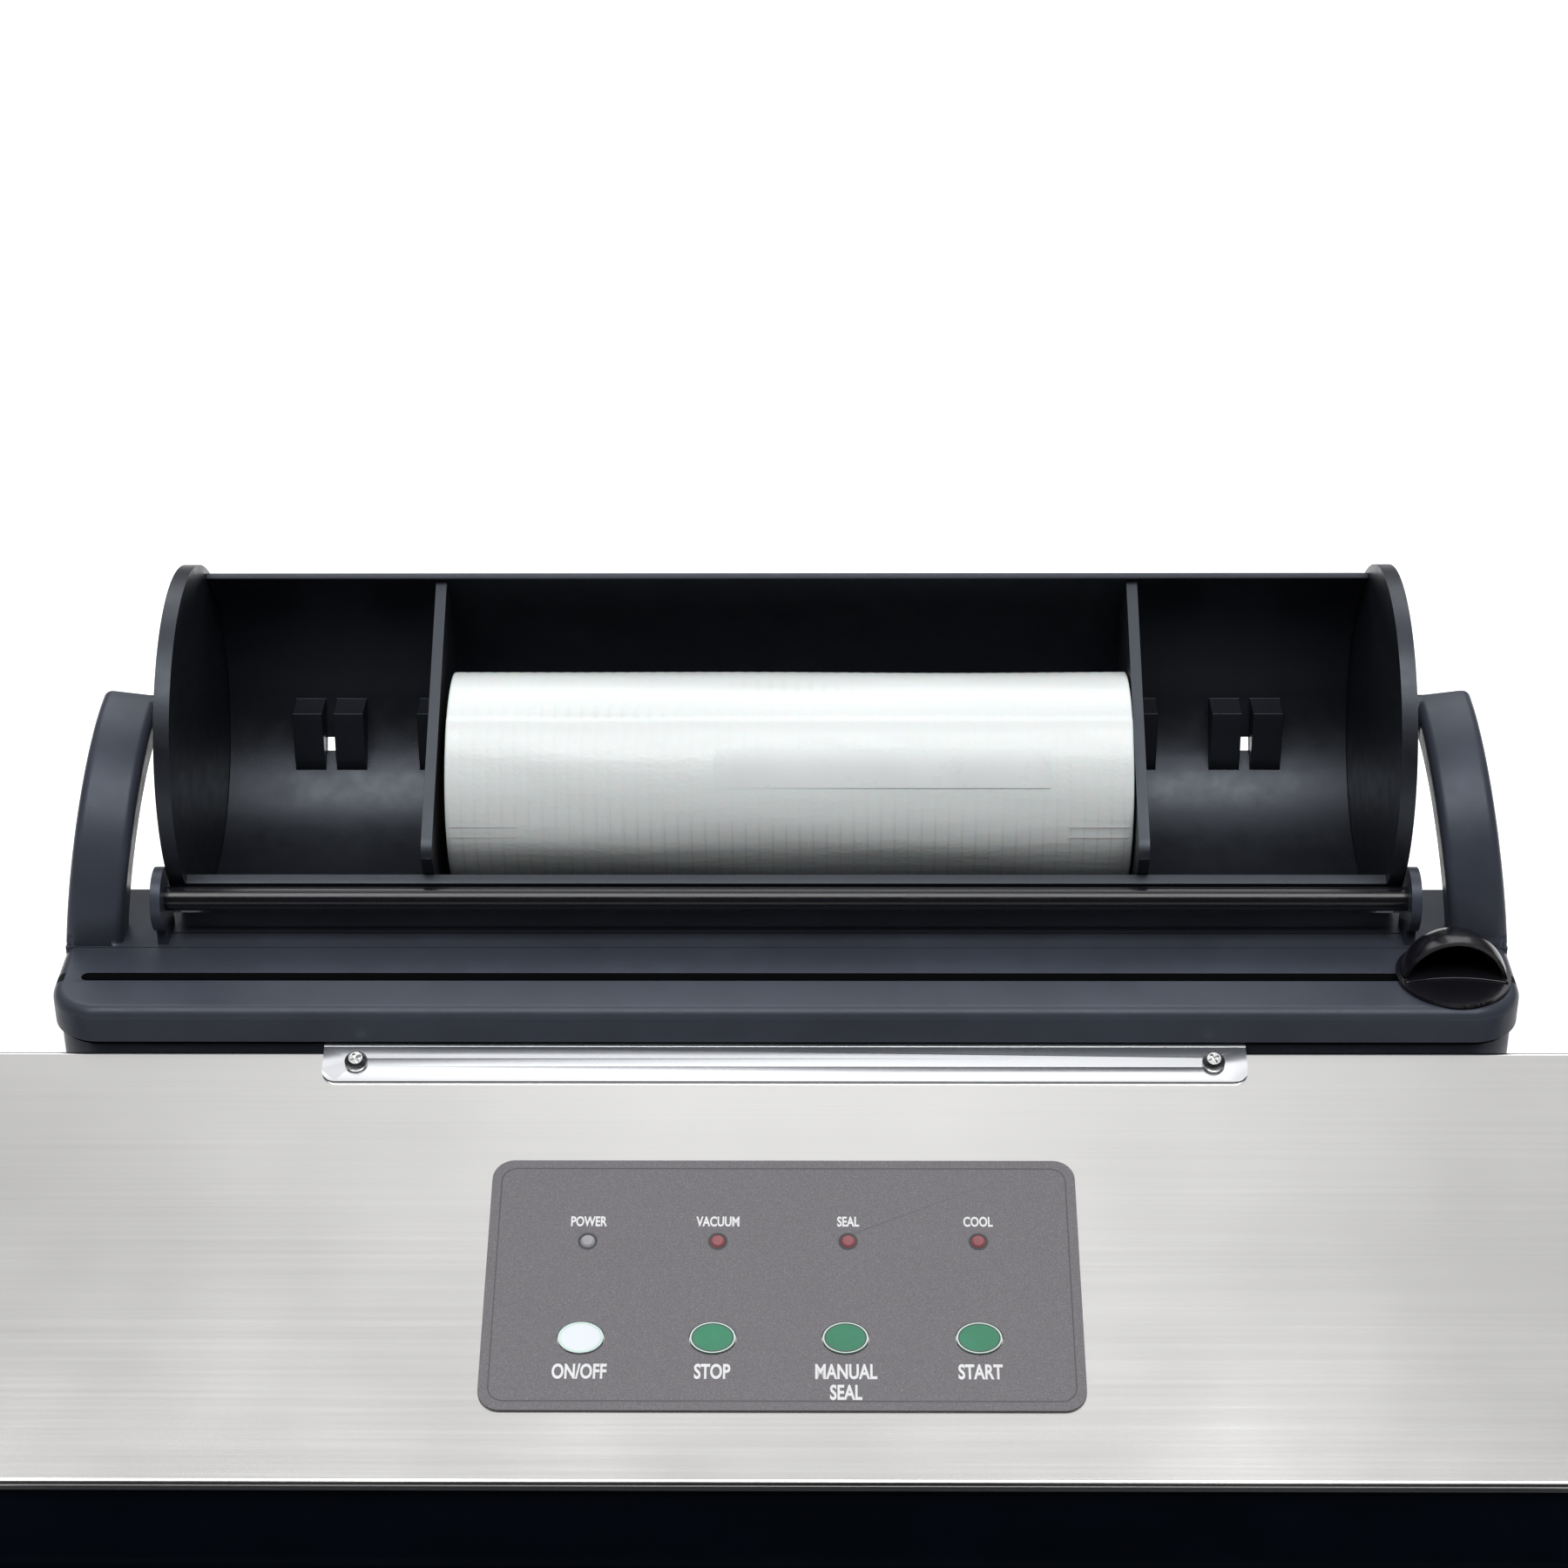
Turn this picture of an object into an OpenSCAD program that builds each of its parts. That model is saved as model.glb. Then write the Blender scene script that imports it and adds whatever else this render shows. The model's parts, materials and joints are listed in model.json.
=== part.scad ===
// Countertop vacuum sealer with a roll holder and slide cutter behind it.
// Front is -Y, +X is the right-hand side, +Z is up, and the feet stand on z = 0.

/* [Housing] */
// Width of the housing over its side panels
body_w = 476; // [430:1:520]
// Height of the housing's rear top edge
rear_h = 175; // [160:1:190]
// Y of the housing's rear face
rear_y = 74; // [60:1:90]
// Slope of the control panel
panel_tilt = 20.9; // [15:0.1:25]
// Length of the control panel down its slope
panel_len = 137.4; // [130:0.1:145]
// Depth of the lid and its deck, in front of the panel
deck_d = 150; // [135:1:160]
// Height of the deck under the lid
deck_h = 64; // [60:1:70]
// Thickness of the stainless sheet
sheet_t = 1.5; // [1:0.1:2]
// Height of the feet
foot_h = 10; // [6:1:14]

/* [Lid] */
// Height of the lid's top face
lid_top = 90; // [86:1:96]
// Clearance between the lid and the housing's sides
lid_gap = 6; // [5:1:10]
// Radius of the lid's hinge pins
lid_pin_r = 2.5; // [2:0.1:3]

/* [Controls] */
// Width of the control overlay
overlay_w = 162; // [150:1:180]
// Length of the overlay down the slope
overlay_l = 78; // [70:0.1:85]
// Distance from the panel's rear edge to the row of lamps
lamp_s = 64.6; // [60:0.1:70]
// Distance from the panel's rear edge to the row of buttons
button_s = 94.7; // [90:0.1:100]
// Travel of a button
button_travel = 0.4; // [0.3:0.1:0.6]

/* [Roll holder] */
// Half width of the cutter bar and the base
bar_hw = 212; // [200:1:220]
// Radius of the trough's end discs
disc_r = 51.7; // [48:0.1:52]
// Outer radius of the trough's curved sheet
trough_r = 50; // [46:0.1:50]
// Outer face of the end discs
disc_x = 181.3; // [175:0.1:184]
// Radius of the bag roll
roll_r = 33; // [20:1:33]
// Width of the bag roll
roll_w = 203.2; // [190:0.1:204]
// Height of the trough's pivot above the drum's centre
pivot_up = 8.2; // [4:0.1:12]
// Radius of the guide rod
rod_r = 3.5; // [3:0.1:4]

/* [Cutter] */
// Diameter of the cutter knob
knob_d = 33; // [28:0.5:33]
// X of the knob where it is parked
knob_x = 193.3; // [180:0.1:193.3]
// Width of the slot that the cutter runs in
slot_w = 4.1; // [3.5:0.1:5]

/* [Hidden] */
$fn = 96;

half_w = body_w / 2;
drop = panel_len * sin(panel_tilt);
front_y = rear_y - panel_len * cos(panel_tilt);
nose_y = front_y - deck_d;
drum_y = rear_y + 89;
drum_z = rear_h + 53;
run = 0.05;             // radial clearance of a shaft that turns
inside_hw = half_w - sheet_t;

// Bends of the folded cover: radius and centre at the rear and at the front
rear_bend = 1.6;
front_bend = 2;
rear_c = [rear_y - rear_bend, rear_h - rear_bend * tan(panel_tilt) - rear_bend / cos(panel_tilt)];
front_c = [front_y + front_bend,
           rear_h - drop + front_bend * tan(panel_tilt) - front_bend / cos(panel_tilt)];
cover_lip = 20;         // depth of the cover's rear flange
cover_foot = rear_h - drop - 2.4; // lower edge of the cover's front flange

// Lid
lid_hw = half_w - lid_gap;
lid_axis = [front_y - 7.6, lid_top - 5];
lid_t = 2.5;
lid_low = deck_h + 2;
lid_front_y = nose_y + 0.4;
seal_y = nose_y + 49.4;

// Controls, as places along X
lamp_xs = [-53.6, -17.9, 17.9, 53.6];
button_xs = [-54.2, -18.7, 17.0, 52.9];
button_rx = 6.15;
button_ry = 4.7;
overlay_s = 77.4;       // middle of the overlay, down the slope
overlay_t = 0.8;

// Holder, as (y, z) from the drum's centre
deck_z = -40.7;
bar_low = -51.5;
bar_front = -88;
bar_rear = -54.9;
bar_edge = 3.4;         // radius of the bar's soft top edges
slot_y = -70.4;
slot_hx = 204.3;
rod_at = [-49.5, -27.1];
lug_x = 183.4;          // middle of the lugs that hold the rod
lug_t = 3;
roll_at = [0, -14.9];
roll_dx = 1.1;
core_r = 16;
trough_in = trough_r - 1.8;
lip_at = 28.6;          // angle of the trough's lower edge below the horizontal
divider_x = 105.1;
divider_t = 3.3;
clip_xs = [divider_x, 144.3];
clip_gap = 3.5;
pin_r = 3;
pin_depth = 3.6;        // depth of the blind bore in each end disc
disc_t = 4.6;
base_low = -100;
arm_r = 54.2;           // outer radius of the arms' quarter ring
arm_in = 39.6;
arm_lean = 7.6;
arm_up = 1.3;           // height of the arms' straight feet
bracket_hw = 132;
bracket_reach = 12;
bracket_t = 1;
screw_x = 122.4;
screw_s = 5.5;

// Points of an arc, from angle a to angle b
function arc(c, r, a, b, n = 8) =
    [for (i = [0:n]) c + r * [cos(a + (b - a) * i / n), sin(a + (b - a) * i / n)]];

// An outline in (y, z), extruded along X about the middle plane
module along_x(w, x = 0) {
    translate([x, 0, 0]) rotate([90, 0, 90]) linear_extrude(w, center = true) children();
}

// A plan outline, as a plate from z0 up
module plate(z0, t) {
    translate([0, 0, z0]) linear_extrude(t) children();
}

module box(x, y, z) {
    translate([x[0], y[0], z[0]]) cube([x[1] - x[0], y[1] - y[0], z[1] - z[0]]);
}

module both_sides() {
    children();
    mirror([1, 0, 0]) children();
}

// A rectangle with round corners, centred
module round_rect(w, l, r) {
    polygon(concat(arc([w / 2 - r, l / 2 - r], r, 0, 90), arc([r - w / 2, l / 2 - r], r, 90, 180),
                   arc([r - w / 2, r - l / 2], r, 180, 270), arc([w / 2 - r, r - l / 2], r, 270, 360)));
}

module ellipse(rx, ry) {
    polygon([for (a = [0:7.5:352.5]) [rx * cos(a), ry * sin(a)]]);
}

// Frame of the sloped panel: x, distance up the slope from the rear edge (negative), height above it
module on_panel() {
    translate([0, rear_y, rear_h]) rotate([panel_tilt, 0, 0]) children();
}

// Frame of the roll holder, at the middle of the drum
module on_holder() {
    translate([0, drum_y, drum_z]) children();
}

// Outline of the housing's outer surface from its rear flange to its front foot, inset by t
function cover_line(t, rear_low, front_low) = concat(
    [[rear_y - t, rear_low]], arc(rear_c, rear_bend - t, 0, 90 + panel_tilt, 8),
    arc(front_c, front_bend - t, 90 + panel_tilt, 180, 12), [[front_y + t, front_low]]);

function reversed(v) = [for (i = [len(v) - 1:-1:0]) v[i]];

/* ---- housing ---- */

module base_pan() color("silver") difference() {
    union() {
        box([-inside_hw, inside_hw], [nose_y + 3, rear_y - sheet_t], [foot_h, foot_h + sheet_t]);
        both_sides() box([inside_hw - sheet_t, inside_hw], [nose_y + 3, rear_y - sheet_t],
                         [foot_h, foot_h + 14]);
    }
    for (x = [-150:15:-60], y = [-20, 30])
        translate([x, y, foot_h - 1]) linear_extrude(4) round_rect(5, 36, 2.4);
    for (y = side_screw_ys) along_x(body_w) translate([y, side_screw_z]) circle(screw_hole);
}

module rubber_feet() color([0.08, 0.08, 0.08]) for (x = [-1, 1], y = [nose_y + 26, rear_y - 26])
    translate([x * (half_w - 30), y, 0]) {
        cylinder(h = 2, r1 = 10, r2 = 12);
        translate([0, 0, 2]) cylinder(h = foot_h - 2, r = 12);
    }

module top_cover() color("gainsboro") difference() {
    along_x(body_w) polygon(concat(cover_line(0, rear_h - cover_lip, cover_foot),
                                   reversed(cover_line(sheet_t, rear_h - cover_lip, cover_foot))));
    for (x = [-225, 225]) translate([x, rear_y + 1, 165]) rotate([90, 0, 0])
        cylinder(h = 4, r = screw_hole);
    on_panel() {
        for (x = button_xs) translate([x, -button_s, -3]) cylinder(h = 6, r = 3.4);
        for (x = lamp_xs) translate([x, -lamp_s, -3]) cylinder(h = 6, r = 2.1);
        for (x = [-screw_x, screw_x]) translate([x, -screw_s, -6]) cylinder(h = 9, r = 2);
    }
}

// Dark panel behind the cover's front flange, down to the deck
module front_fascia() color([0.05, 0.06, 0.08]) box(
    [-inside_hw, inside_hw], [front_y + sheet_t, front_y + sheet_t + 2.5], [deck_h, cover_foot + 0.6]);

module side_panel(s) color("silver") difference() {
    along_x(sheet_t, s * (half_w - sheet_t / 2))
        polygon(concat([[nose_y, foot_h], [rear_y, foot_h], [rear_y, rear_h - cover_lip]],
                       cover_line(sheet_t, rear_h - cover_lip, deck_h + 0.5),
                       [[front_y + sheet_t, deck_h], [nose_y, deck_h]]));
    for (i = [0:6]) along_x(10, s * half_w) translate([10 + 7 * i, 60]) square([3, 44]);
    for (y = side_screw_ys) along_x(body_w + 2) translate([y, side_screw_z]) circle(screw_hole);
}

module side_panel_left() side_panel(-1);
module side_panel_right() side_panel(1);

module rear_panel() color("silver") difference() {
    box([-inside_hw, inside_hw], [rear_y - sheet_t, rear_y], [foot_h + sheet_t, rear_h - cover_lip]);
    for (i = [-5:5]) translate([-90 + 9 * i, rear_y, 75]) rotate([90, 0, 0])
        linear_extrude(12, center = true) round_rect(4.5, 60, 2.2);
    box([155, 187], [rear_y - 5, rear_y + 5], [38, 62]);
    for (x = [-180, -60, 60, 180]) translate([x, rear_y + 5, 142]) rotate([90, 0, 0])
        cylinder(h = 12, r = 2.2);
}

module front_deck() color([0.09, 0.09, 0.1]) difference() {
    box([-inside_hw, inside_hw], [nose_y, front_y], [deck_h - 4, deck_h]);
    box([-166, 166], [front_y - 69.6, front_y - 27.6], [deck_h - 5, deck_h + 1]);
    box([-166, 166], [seal_y - 7, seal_y + 7], [deck_h - 5, deck_h + 1]);
}

module front_apron() color([0.09, 0.09, 0.1])
    box([-inside_hw, inside_hw], [nose_y, nose_y + 3], [foot_h, deck_h - 4]);

// Channel that takes the open end of the bag, with the pump's port in its floor
module vacuum_trough() color([0.09, 0.09, 0.1]) difference() {
    box([-166, 166], [front_y - 69.6, front_y - 27.6], [deck_h - 15, deck_h]);
    box([-163, 163], [front_y - 66.6, front_y - 30.6], [deck_h - 12, deck_h + 1]);
    translate([150, front_y - 48, deck_h - 20]) cylinder(h = 12, r = 3);
}

module gasket(z, t) {
    translate([0, front_y - 48.6, z]) linear_extrude(t) difference() {
        round_rect(361.6, 71.6, 11.8);
        round_rect(346.4, 56.4, 4.2);
    }
}

module lower_gasket() color([0.15, 0.15, 0.15]) gasket(deck_h, 1);

module seal_bar() color("silver") box([-166, 166], [seal_y - 7, seal_y + 7], [deck_h - 12, deck_h + 1]);

module seal_element() color("dimgray")
    box([-162, 162], [seal_y - 2.5, seal_y + 2.5], [deck_h + 1, deck_h + 1.3]);

module seal_tape() color("tan") difference() {
    box([-164, 164], [seal_y - 6.5, seal_y + 6.5], [deck_h + 1, deck_h + 1.5]);
    box([-162, 162], [seal_y - 2.5, seal_y + 2.5], [deck_h + 0.5, deck_h + 1.3]);
}

/* ---- lid ---- */

// Knuckles that stand on the deck outside the lid's ends and hold its two pins
module hinge_brackets() color([0.1, 0.1, 0.1]) both_sides() difference() {
    along_x(4, half_w - 3.7) {
        translate(lid_axis) circle(6);
        translate([lid_axis[0] - 6, deck_h]) square([12, lid_axis[1] - deck_h]);
    }
    along_x(9, half_w - 3.7) translate(lid_axis) circle(lid_pin_r + 0.01);
}

module lid_hinge_pins() color("silver") both_sides()
    along_x(18.2, half_w - 10.8) translate(lid_axis) circle(lid_pin_r);

module lid_outline(t) {
    polygon(concat(arc(lid_axis, 5 - t, 0, 90),
                   arc([lid_front_y + 8, lid_top - 8], 8 - t, 90, 180),
                   [[lid_front_y + t, lid_low - (t > 0 ? 1 : 0)],
                    [lid_axis[0] + 5 - t, lid_low - (t > 0 ? 1 : 0)]]));
}

module lid_shell() color([0.08, 0.08, 0.09]) difference() {
    along_x(2 * lid_hw) lid_outline(0);
    difference() {
        along_x(2 * lid_hw - 2 * lid_t) lid_outline(lid_t);
        both_sides() along_x(14, lid_hw - 7) translate([lid_axis[0] - 6, lid_axis[1] - 6]) square(16);
    }
    both_sides() along_x(16, lid_hw - 7) translate(lid_axis) circle(lid_pin_r + run);
}

liner_z = lid_low + 5;
module lid_liner() color([0.1, 0.1, 0.1]) difference() {
    box([-lid_hw + lid_t, lid_hw - lid_t], [lid_front_y + lid_t, lid_axis[0] + 2.5],
        [liner_z, liner_z + 2.5]);
    box([-150, 150], [front_y - 62, front_y - 35], [liner_z - 1, liner_z + 4]);
}

module upper_gasket() color([0.15, 0.15, 0.15]) gasket(deck_h + 1.2, liner_z - deck_h - 1.2);

module pressure_strip() color([0.6, 0.15, 0.1])
    box([-166, 166], [seal_y - 4, seal_y + 4], [deck_h + 1.8, liner_z]);

handle_y = -drum_y - disc_r;
module lid_handle() color([0.08, 0.08, 0.08]) {
    along_x(220) difference() {
        union() {
            translate([handle_y, lid_top - 14]) square([lid_front_y - handle_y, 8]);
            translate([handle_y, lid_top - 20]) square([4, 8]);
        }
        difference() {
            translate([handle_y - 1, lid_top - 10]) square([5, 5]);
            translate([handle_y + 4, lid_top - 10]) circle(4);
        }
    }
}

/* ---- controls ---- */

module control_overlay() color([0.42, 0.4, 0.42]) on_panel() difference() {
    translate([0, -overlay_s, 0]) linear_extrude(overlay_t) round_rect(overlay_w, overlay_l, 6);
    for (x = button_xs) translate([x, -button_s, -1]) linear_extrude(4)
        ellipse(button_rx + 0.3, button_ry + 0.3);
    for (x = lamp_xs) translate([x, -lamp_s, -1]) cylinder(h = 4, r = 2.1);
}

module lamp(x) on_panel() translate([x, -lamp_s, -3]) {
    cylinder(h = 3 + overlay_t, r = 2);
    translate([0, 0, 3 + overlay_t]) cylinder(h = 0.5, r1 = 2, r2 = 1.4);
}

module power_lamp() color("white") lamp(lamp_xs[0]);
module status_lamps() color("firebrick") for (i = [1:3]) lamp(lamp_xs[i]);

module control_board() color("darkgreen") on_panel() {
    translate([0, -overlay_s, -9]) linear_extrude(1.6) square([130, 60], center = true);
    for (x = button_xs) translate([x - 3, -button_s - 3, -7.4]) cube([6, 6, 2.4]);
    for (x = lamp_xs) translate([x - 2, -lamp_s - 2, -7.4]) cube([4, 4, 4.4]);
}

module button(x) on_panel() translate([x, -button_s, 0]) {
    translate([0, 0, button_travel + 0.1]) linear_extrude(0.6) ellipse(button_rx, button_ry);
    translate([0, 0, -4.5]) cylinder(h = 5, r = 2.5);
}

module button_1() color("white") button(button_xs[0]);
module button_2() color("seagreen") button(button_xs[1]);
module button_3() color("seagreen") button(button_xs[2]);
module button_4() color("seagreen") button(button_xs[3]);

/* ---- machinery inside the housing ---- */

floor_z = foot_h + sheet_t;

module pump_body() color("gray") {
    box([70, 150], [-30, 34], [floor_z, floor_z + 8]);
    box([80, 140], [-24, 28], [floor_z + 8, floor_z + 58]);
}

module pump_heads() color("silver") for (x = [88, 132])
    translate([x, 2, floor_z + 58]) {
        cylinder(h = 12, r = 16);
        translate([0, 0, 12]) cylinder(h = 6, r = 5);
    }

module pump_motor() color("darkgray") difference() {
    translate([140, 2, floor_z + 32]) rotate([0, 90, 0]) cylinder(h = 64, r = 24);
    translate([199, 2, floor_z + 32]) rotate([0, 90, 0]) cylinder(h = 6, r = 8);
}

module transformer() color("goldenrod") {
    box([-60, 10], [-26, 24], [floor_z, floor_z + 60]);
    box([-50, 0], [-36, 34], [floor_z + 12, floor_z + 48]);
}

fan_at = [-90, rear_y - sheet_t - 13, 75];
module fan_frame() color([0.1, 0.1, 0.1]) translate(fan_at) rotate([90, 0, 0]) {
    difference() {
        linear_extrude(25, center = true) round_rect(80, 80, 4);
        cylinder(h = 26, r = 38, center = true);
    }
    for (a = [45:90:315]) rotate([0, 0, a]) translate([0, -2, 9.5]) cube([40, 4, 3]);
    translate([0, 0, 9.5]) cylinder(h = 3, r = 17);
    translate([0, 0, -8]) cylinder(h = 18, r = 2);
}

module fan_rotor() color([0.13, 0.13, 0.13]) translate(fan_at) rotate([90, 0, 0]) difference() {
    union() {
        translate([0, 0, -9]) cylinder(h = 17, r = 16);
        for (a = [0:60:300]) rotate([0, 0, a]) translate([15, 0, -1]) rotate([35, 0, 0])
            translate([0, -9, -0.8]) cube([20, 18, 1.6]);
    }
    translate([0, 0, -7.9]) cylinder(h = 20, r = 2 + run);
    translate([0, 0, -10]) cylinder(h = 3, r = 2 + run);
}

module solenoid_valve() color("steelblue") {
    box([30, 56], [-28, -6], [floor_z, floor_z + 22]);
    translate([43, -17, floor_z + 22]) cylinder(h = 14, r = 8);
    translate([43, -17, floor_z + 36]) cylinder(h = 8, r = 3);
}

// Round tube through a list of points
module pipe(points, r) {
    for (i = [0:len(points) - 2]) {
        v = points[i + 1] - points[i];
        translate(points[i]) rotate([0, acos(v[2] / norm(v)), atan2(v[1], v[0])])
            cylinder(h = norm(v), r = r);
    }
    for (i = [1:len(points) - 2]) translate(points[i]) sphere(r = r + 0.4);
}

// Hose from a pump head forward, down and up to the outlet under the vacuum channel
module vacuum_hose() color([0.75, 0.75, 0.78]) pipe([
    [132, 2, floor_z + 76], [132, 2, 100], [132, -40, 100], [132, -40, 24],
    [150, front_y - 48, 24], [150, front_y - 48, deck_h - 15]], 4.5);

module power_inlet() color([0.1, 0.1, 0.1]) difference() {
    union() {
        box([155, 187], [rear_y - 22, rear_y], [38, 62]);
        box([147, 195], [rear_y, rear_y + 2.5], [35, 65]);
    }
    box([158.7, 183.3], [rear_y - 16, rear_y + 3], [41.5, 58.5]);
    for (x = [151, 191]) translate([x, rear_y + 3, 50]) rotate([90, 0, 0]) cylinder(h = 4, r = 1.8);
}

// Screw with a flat-topped head, pointing down
module screw(reach) {
    cylinder(h = 0.9, r = 3.5);
    translate([0, 0, 0.9]) cylinder(h = 1.4, r1 = 3.5, r2 = 2.2);
    translate([0, 0, -reach]) cylinder(h = reach, r = 1.9);
}

screw_hole = 2;
side_screw_z = 17;
side_screw_ys = [-180, -90, 60];
module cover_screws() color("silver") {
    for (x = [-225, 225]) translate([x, rear_y, 165]) rotate([-90, 0, 0]) screw(7);
    both_sides() for (y = side_screw_ys) translate([half_w, y, side_screw_z]) rotate([0, 90, 0])
        screw(6);
}

/* ---- roll holder ---- */

// Thin plate that laps onto the panel, turns down its rear edge and runs back into the base
module bracket_plate() color("white") {
    on_panel() difference() {
        translate([0, -bracket_reach, 0]) linear_extrude(bracket_t) polygon(concat(
            arc([bracket_hw - 4, 4], 4, 270, 360), [[bracket_hw, bracket_reach + 0.4],
            [-bracket_hw, bracket_reach + 0.4]], arc([4 - bracket_hw, 4], 4, 180, 270)));
        for (x = [-screw_x, screw_x]) translate([x, -screw_s, -1]) cylinder(h = 4, r = 2);
    }
    box([-bracket_hw, bracket_hw], [rear_y - 0.4, rear_y + 15], [rear_h, rear_h + bracket_t]);
}

module bracket_screws() color("silver") on_panel() for (x = [-screw_x, screw_x])
    translate([x, -screw_s, bracket_t]) difference() {
        union() {
            cylinder(h = 0.8, r = 3.25);
            translate([0, 0, 0.8]) cylinder(h = 1.4, r1 = 3.25, r2 = 2);
            translate([0, 0, -4.5]) cylinder(h = 4.5, r = 1.9);
        }
        for (a = [30, 120]) rotate([0, 0, a]) translate([-1.7, -0.4, 1]) cube([3.4, 0.8, 2]);
    }

// Moulded base: lip under the cutter bar, deck behind it and a box that hangs behind the housing
module holder_base() color([0.1, 0.1, 0.11]) on_holder() difference() {
    union() {
        intersection() {
            along_x(2 * bar_hw) polygon(concat(
                [[-86.5, base_low], [-10, base_low]], arc([-10, -62.5], 8, 0, 90),
                [[-35.5, -54.5], [-35.5, deck_z], [bar_rear + 0.3, deck_z], [bar_rear + 0.3, -53.2],
                 [-86.5, -53.2]]));
            union() {
                plate(base_low - 1, 49) bar_outline(1.5, 30);
                box([-bar_hw, bar_hw], [bar_rear + 0.3, 0], [-60, deck_z + 1]);
            }
        }
        both_sides() along_x(bar_hw - 184, (bar_hw + 184) / 2)
            polygon([[-36, -58], [-36, deck_z], [-22.4, deck_z], [-22.4, -58]]);
    }
    along_x(2 * bar_hw - 7) translate([bar_front + 3, base_low - 1]) square([71.5, 39.5]);
    along_x(2 * bar_hw - 7) translate([bar_rear + 3.3, -62]) square([13, 18.5]);
    box([-slot_hx - 3, slot_hx + 3], [slot_y - 1.6, slot_y + 1.6], [-58, -50]);
    box([-bracket_hw, bracket_hw], [bar_front - 2, bar_front + 14.2], [-53.5, -50]);
    both_sides() for (x = [60, 180]) translate([x, bar_front + 6, 142 - drum_z]) rotate([90, 0, 0])
        cylinder(h = 12, r = 1.95);
}

module base_screws() color("silver") for (x = [-180, -60, 60, 180])
    translate([x, rear_y - sheet_t, 142]) rotate([90, 0, 0]) {
        cylinder(h = 3, r = 4);
        translate([0, 0, -7]) cylinder(h = 7, r = 1.9);
    }

// Quarter-ring arm with a soft square section, leaning in towards the drum
module arm_section() {
    translate([(arm_r + arm_in) / 2, 0]) round_rect(arm_r - arm_in, 16.7, 3);
}

module holder_arm() difference() {
    union() {
        translate([203.8, 0, deck_z + arm_up]) rotate([0, -arm_lean, 0]) {
            rotate([90, 0, -90]) rotate_extrude(angle = 91) arm_section();
            rotate([0, 0, -90]) translate([0, 0, -6]) linear_extrude(6.01) arm_section();
        }
        along_x(15, disc_x + 8) translate([0, pivot_up]) circle(5.2);
    }
    box([170, 240], [-70, 20], [deck_z - 20, deck_z]);
    along_x(20, disc_x + 8) translate([0, pivot_up]) circle(pin_r + 0.01);
}

module holder_arm_left() color([0.12, 0.12, 0.13]) on_holder() mirror([1, 0, 0]) holder_arm();
module holder_arm_right() color([0.12, 0.12, 0.13]) on_holder() holder_arm();

// Round lugs on short necks that hold the guide rod's ends
module rod_holders() color([0.1, 0.1, 0.1]) on_holder() both_sides() difference() {
    along_x(lug_t, lug_x) {
        translate(rod_at) circle(9.5);
        translate([rod_at[0] - 3.8, deck_z]) square([12, 10]);
    }
    along_x(lug_t, lug_x - 1) translate(rod_at) circle(rod_r + run);
}

module guide_rod() color([0.05, 0.05, 0.05]) on_holder()
    along_x(2 * lug_x + lug_t - 2.6) translate(rod_at) circle(rod_r);

/* ---- cutter ---- */

// Plan of the bar, inset by i at its front and ends; its rear edge moves back by r
module bar_outline(i, r = 0) {
    polygon(concat([[bar_hw - i, bar_rear + r], [i - bar_hw, bar_rear + r]],
                   arc([15 - bar_hw, bar_front + 15], 15 - i, 180, 270, 16),
                   arc([bar_hw - 15, bar_front + 15], 15 - i, 270, 360, 16)));
}

module cutter_bar() color([0.13, 0.13, 0.14]) on_holder() difference() {
    hull() {
        plate(bar_low, 1) bar_outline(0);
        both_sides() translate([bar_hw - 15, bar_front + 15, deck_z - bar_edge])
            rotate_extrude($fn = 64) translate([15 - bar_edge, 0]) circle(bar_edge, $fn = 32);
        translate([0, bar_rear, 0]) rotate([90, 0, 0]) linear_extrude(0.5) polygon(concat(
            [[bar_hw, bar_low]], arc([bar_hw - bar_edge, deck_z - bar_edge], bar_edge, 0, 90),
            arc([bar_edge - bar_hw, deck_z - bar_edge], bar_edge, 90, 180), [[-bar_hw, bar_low]]));
    }
    plate(deck_z - 4, 5) {
        translate([0, slot_y]) square([2 * slot_hx - slot_w, slot_w], center = true);
        both_sides() translate([slot_hx - slot_w / 2, slot_y]) circle(slot_w / 2);
    }
    plate(bar_low - 1, deck_z - 1.5 - bar_low) bar_outline(3, -3);
}

// Half dome with a hollow front, as a rest for a fingertip
module knob_dome() {
    difference() {
        intersection() {
            translate([0, 0, -2.6]) sphere(r = 15.5);
            box([-20, 20], [-3.4, 20], [0, 20]);
        }
        translate([0, 3, -2.6]) rotate([90, 0, 0]) cylinder(h = 10, r = 14);
        translate([0, 3, -2.6]) sphere(r = 11.5);
    }
}

module cutter_knob() color([0.07, 0.07, 0.08]) on_holder()
    translate([knob_x, slot_y, deck_z + 0.3]) {
        cylinder(h = 1.2, r = knob_d / 2);
        translate([0, 0, 1.2]) knob_dome();
        translate([-9.5, -1.8, -3.3]) cube([19, 3.6, 3.31]);
        translate([-13, -7, -6.3]) cube([26, 14, 3]);
    }

module cutter_blade() color("silver") on_holder() translate([knob_x, slot_y, 0])
    rotate([90, 0, 0]) linear_extrude(0.5, center = true)
        polygon([[-8, deck_z - 6], [8, deck_z - 6], [5, -55.5], [-5, -55.5]]);

/* ---- trough and roll ---- */

// Clip blocks: each pair grips a divider's edge against the rear wall
module clip_blocks() both_sides() for (c = clip_xs, s = [-1, 1])
    along_x(9.4, c + s * (clip_gap + 9.4) / 2) intersection() {
        circle(trough_in + 0.8);
        polygon([[36.6, -12.5], [60, -12.5], [60, -40], [36, -32.9], [34.8, -27.9]]);
    }

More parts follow.
